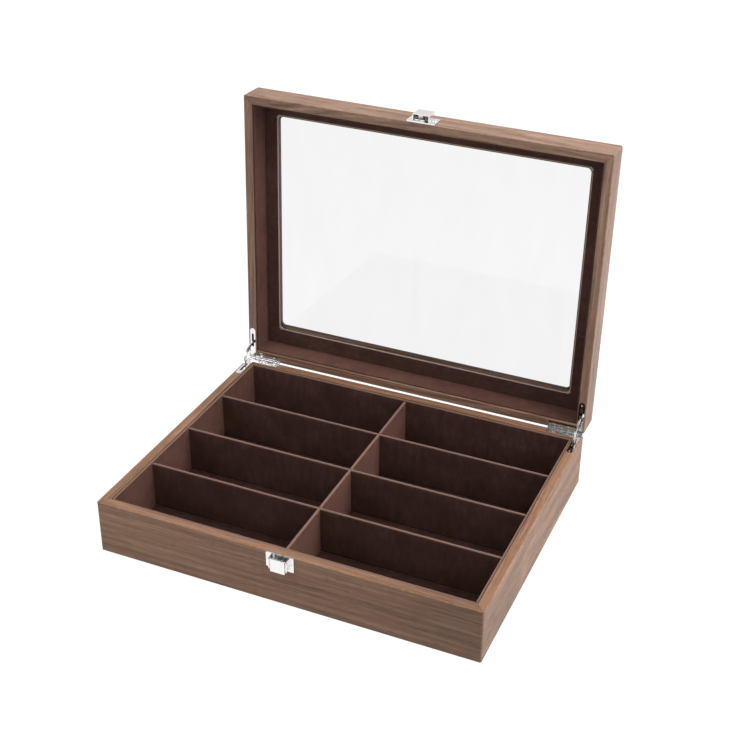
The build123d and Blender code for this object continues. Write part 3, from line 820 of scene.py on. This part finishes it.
def felt_sheet(name, node, material):
    """The felt under the bottom board, slightly uneven on its free side."""
    low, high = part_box(node)
    xs, ys = steps(low.x, high.x, FELT_PITCH), steps(low.y, high.y, FELT_PITCH)
    points = []
    for top in (False, True):
        for x in xs:
            for y in ys:
                edge = min(x - low.x, high.x - x, y - low.y, high.y - y)
                rise = FELT_RISE + FELT_WAVE * wander((x, y, 0), 0.012, 31)
                rise += FELT_EDGE_RISE * max(0, 1 - edge / FELT_EDGE)
                points.append((x, y, high.z if top else low.z + rise))
    layer = len(xs) * len(ys)
    faces = grid_faces(0, len(xs), len(ys)) + grid_faces(layer, len(xs), len(ys))
    rim = grid_rim(0, len(xs), len(ys))
    faces += band(rim, [p + layer for p in rim])
    return add_piece(name, mesh_from(name, points, faces), material, "base", node)


SPRING_WIRE = 0.00019
SPRING_TURNS, SPRING_TURN_POINTS = 5, 16
SPRING_MIDDLE = 0.0004
SPRING_LEG = (Vector((0, 0.0006, 0.0001)), Vector((0, 0.0013, 0.0004)))


def torsion_spring(name, node, material):
    """Two coils of wire round the latch pin, joined in the middle, each with a leg back to the plate."""
    low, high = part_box(node)
    centre = (low + high) / 2
    radius = (high.z - low.z) / 2 - SPRING_WIRE
    count = SPRING_TURNS * SPRING_TURN_POINTS
    halves = []
    for side in (-1, 1):
        coil = []
        for k in range(count + 1):
            a = 2 * math.pi * SPRING_TURNS * k / count + math.pi / 2
            x = side * (SPRING_MIDDLE + (high.x - SPRING_WIRE - SPRING_MIDDLE) * k / count)
            coil.append(Vector((x, centre.y + radius * math.cos(a), centre.z + radius * math.sin(a))))
        halves.append(coil + [coil[-1] + step for step in SPRING_LEG])
    path = list(reversed(halves[0])) + halves[1]
    curve = bpy.data.curves.new(name, "CURVE")
    curve.dimensions = "3D"
    curve.bevel_depth = SPRING_WIRE
    curve.bevel_resolution = 3
    curve.use_fill_caps = True
    spline = curve.splines.new("POLY")
    spline.points.add(len(path) - 1)
    for point, co in zip(spline.points, path):
        point.co = (*co, 1)
    bare = bpy.data.objects.new(name + "_path", curve)
    mesh = bpy.data.meshes.new_from_object(bare)
    bpy.data.objects.remove(bare)
    bpy.data.curves.remove(curve)
    mesh.name = name
    return add_piece(name, mesh, material, "base", node)


# ---- Materials on the carried-over nodes ----
def dress(node, material):
    """Give a CAD node's object its material."""
    data = NODES[node].data
    data.materials.clear()
    data.materials.append(material)


BASE_TINT = (0.83, 0.755, 0.70)
LID_TINT = (0.88, 0.90, 0.98)
LID_SHIFT = (5.0, 0.02, -0.14)
# side, grain along y, place in the wood, and tone at the two ends, which is painted light and shade for the
# lamps' falloff along the wall
WALLS = (
    ("front", False, (0.31, 0.060, 0.085), (1.08, 0.76)),
    ("rear", False, (1.73, 0.075, 0.060), (1.0, 1.0)),
    ("left", True, (2.41, 0.070, 0.095), (1.0, 1.0)),
    ("right", True, (3.37, 0.085, 0.055), (0.90, 1.16)),
)
for side, along_y, shift, painted_light_ends in WALLS:
    dress(
        f"base_{side}_wall",
        walnut(f"walnut_base_{side}", False, along_y, shift, BASE_LOW.z, BASE_HIGH.z, BASE_TINT, painted_light_ends),
    )
    lid_shift = tuple(here + more for here, more in zip(shift, LID_SHIFT))
    dress(
        f"lid_{side}_wall",
        walnut(f"walnut_lid_{side}", True, along_y, lid_shift, LID_LOW.z, LID_HIGH.z, LID_TINT),
    )
# the window frame lies inside the lid's walls: with so wide a z range, none of it counts as an arris, so it
# gets no wear and no painted highlight
FAR_LOW, FAR_HIGH = -1.0, 1.0
FRAME_SHIFT = (6.1, 0.06, 0.02)
sill = opening("lid_window_frame")
top_walnut = walnut("walnut_lid_top", True, False, FRAME_SHIFT, FAR_LOW, FAR_HIGH, LID_TINT, sill=sill)
dress("lid_window_frame", top_walnut)
dress("bottom_board", board("fibreboard"))
dress("window_pane", clear_pane("clear_pane"))

polished = chrome("chrome_polished", (0.87, 0.86, 0.86), 0.08)
brushed = chrome("chrome_satin", (0.86, 0.845, 0.84), 0.20, (1.0, 0.12, 1.0))
spring_steel = chrome("spring_steel", (0.20, 0.19, 0.18), 0.25)
for side in ("left", "right"):
    dress(f"{side}_hinge_base_leaf", polished)
    dress(f"{side}_hinge_lid_leaf", polished)
    dress(f"{side}_hinge_pin", brushed)
    dress(f"{side}_hinge_quadrant", brushed)
for node in ("hinge_base_screws", "hinge_lid_screws", "latch_nails", "catch_nails"):
    dress(node, polished)
for node in ("latch_plate", "latch_lever", "latch_pin", "lid_catch"):
    dress(node, brushed)

# ---- Soft pieces ----
DIVIDER_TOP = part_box("centre_divider")[1].z
LINER_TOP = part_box("base_liner_front")[1].z
# how far below the top edge the painted sheen highlight and the opened pile start, and where they are full
DIVIDER_SHEEN_BAND, LINER_SHEEN_BAND, FULL_SHEEN = 0.0013, 0.0012, 0.0003
divider_velvet = velvet("velvet_dividers", sheen_band=(DIVIDER_TOP - DIVIDER_SHEEN_BAND, DIVIDER_TOP - FULL_SHEEN))
liner_velvet = velvet("velvet_base_lining", sheen_band=(LINER_TOP - LINER_SHEEN_BAND, LINER_TOP - FULL_SHEEN))
# the floor pads' velvet at half tone and half sheen: painted shade, for the floor lying in shadow among the
# dividers
shaded_floor_velvet = velvet("velvet_floor_painted_shade", shade_tone=0.5)
lid_velvet = velvet("velvet_lid", on_lid=True)
# a band far below the lid, so the whole of this edge is lighter: a painted highlight, the light line of the
# cut edge catching the light
cut_edge_velvet = velvet("velvet_cut_edge", True, sheen_band=(0.0, 0.001), sheen_colour=CUT_EDGE_SHEEN)
for index, side in enumerate(("front", "rear", "left", "right")):
    node = f"base_liner_{side}"
    liner(f"base_lining_{side}", node, BASE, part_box(node), liner_velvet, "base", 40 + index, True)
    node = f"lid_liner_{side}"
    liner(f"lid_lining_{side}", node, LID, closed_box(node), lid_velvet, "lid", 50 + index, False)

ROWS = ("front", "middle", "rear")
row_boxes = [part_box(f"cross_divider_{row}") for row in ROWS]
row_lines = [(low.y + high.y) / 2 for low, high in row_boxes]
divider("centre_velvet_divider", "centre_divider", row_lines, True, divider_velvet, 61, True)
for index, row in enumerate(ROWS):
    name = f"cross_velvet_divider_{row}"
    divider(name, f"cross_divider_{row}", [0.0], False, divider_velvet, 62 + index, False)
pad_low, pad_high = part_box("floor_pad")
pad_x_lines = [pad_low.x, 0.0, pad_high.x]
pad_y_lines = [pad_low.y] + row_lines + [pad_high.y]
centre_low, centre_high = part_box("centre_divider")
half_divider = (centre_high.x - centre_low.x) / 2
pads = floor_pads("shaded_floor_velvet", "floor_pad", pad_x_lines, pad_y_lines, half_divider, shaded_floor_velvet)
velvet_frame("lid_velvet_surround", "lid_velvet_frame", lid_velvet, cut_edge_velvet)
under_felt = felt_sheet("bottom_felt_sheet", "bottom_felt", felt("brown_felt"))
torsion_spring("latch_torsion_spring", "latch_spring", spring_steel)

# ---- Floor and light ----
FLOOR_REACH = 20.0
FLOOR_GAP = 0.0002
# nearly all of the floor's white is its own glow, so the box leaves only a faint shadow on it
FLOOR_ALBEDO, FLOOR_GLOW = 0.06, 0.985
floor_mesh = bpy.data.meshes.new("floor")
floor_z = cad_bounds[0].z - FLOOR_GAP
floor_corners = ((-1, -1), (1, -1), (1, 1), (-1, 1))
floor_points = [(x * FLOOR_REACH, y * FLOOR_REACH, floor_z) for x, y in floor_corners]
floor_mesh.from_pydata(floor_points, [], [(0, 1, 2, 3)])
floor = bpy.data.objects.new("floor", floor_mesh)
SCENE.collection.objects.link(floor)
pale = Nodes("pale_floor")
pale.set(Base_Color=(FLOOR_ALBEDO, FLOOR_ALBEDO, FLOOR_ALBEDO, 1), Roughness=0.9, Specular_IOR_Level=0.0)
pale.set(Emission_Color=(1, 1, 1, 1), Emission_Strength=FLOOR_GLOW)
floor_mesh.materials.append(pale.material)

WORLD_DIM, WORLD_BRIGHT = 0.10, 0.85
# a direction's y where the dim front ends and where the back is fully bright
FRONT_Y, BEHIND_Y = -0.35, 0.45
# a direction's z where the white horizon starts to fade and where it has gone
HORIZON_Z, SKY_Z = 0.05, 0.22
world = bpy.data.worlds.new("studio")
world.use_nodes = True
background = world.node_tree.nodes["Background"]
background.inputs[0].default_value = (1, 1, 1, 1)


def world_node(kind, **values):
    node = world.node_tree.nodes.new(kind)
    for socket, value in values.items():
        node.inputs[socket.replace("_", " ")].default_value = value
    return node


# a dim studio in front, a bright wall behind and a white horizon that meets the floor
direction = world_node("ShaderNodeSeparateXYZ")
behind = world_node(
    "ShaderNodeMapRange", From_Min=FRONT_Y, From_Max=BEHIND_Y, To_Min=WORLD_DIM, To_Max=WORLD_BRIGHT
)
horizon = world_node("ShaderNodeMapRange", From_Min=HORIZON_Z, From_Max=SKY_Z, To_Min=1.0, To_Max=0.0)
brighter = world_node("ShaderNodeMath")
brighter.operation = "MAXIMUM"
links = world.node_tree.links
links.new(world_node("ShaderNodeTexCoord").outputs["Generated"], direction.inputs[0])
links.new(direction.outputs[1], behind.inputs["Value"])
links.new(direction.outputs[2], horizon.inputs["Value"])
links.new(behind.outputs[0], brighter.inputs[0])
links.new(horizon.outputs[0], brighter.inputs[1])
links.new(brighter.outputs[0], background.inputs[1])
SCENE.world = world


# name, place, target, size, watts, and whether it shows in gloss: the top one would bleach the chrome barrels
SOFTBOXES = (
    ("key_right", (1.6, 0.1, 0.9), (0, 0, 0.1), (1.2, 1.2), 39, True),
    ("top", (0.1, 0.1, 1.8), (0, 0, 0.1), (1.4, 1.4), 40, False),
    ("front", (0.4, -1.8, 1.1), (0, 0, 0.05), (1.3, 0.9), 9, True),
    ("left_front", (-1.1, -0.8, 0.9), (-0.1, -0.1, 0.05), (0.7, 0.7), 6, True),
)
for name, place, target, size, watts, in_gloss in SOFTBOXES:
    data = bpy.data.lights.new(name, "AREA")
    data.shape = "RECTANGLE"
    data.size, data.size_y = size
    data.energy = watts
    lamp = bpy.data.objects.new(name, data)
    SCENE.collection.objects.link(lamp)
    lamp.location = place
    lamp.rotation_mode = "QUATERNION"
    lamp.rotation_quaternion = (Vector(target) - Vector(place)).to_track_quat("-Z", "Y")
    lamp.visible_glossy = in_gloss
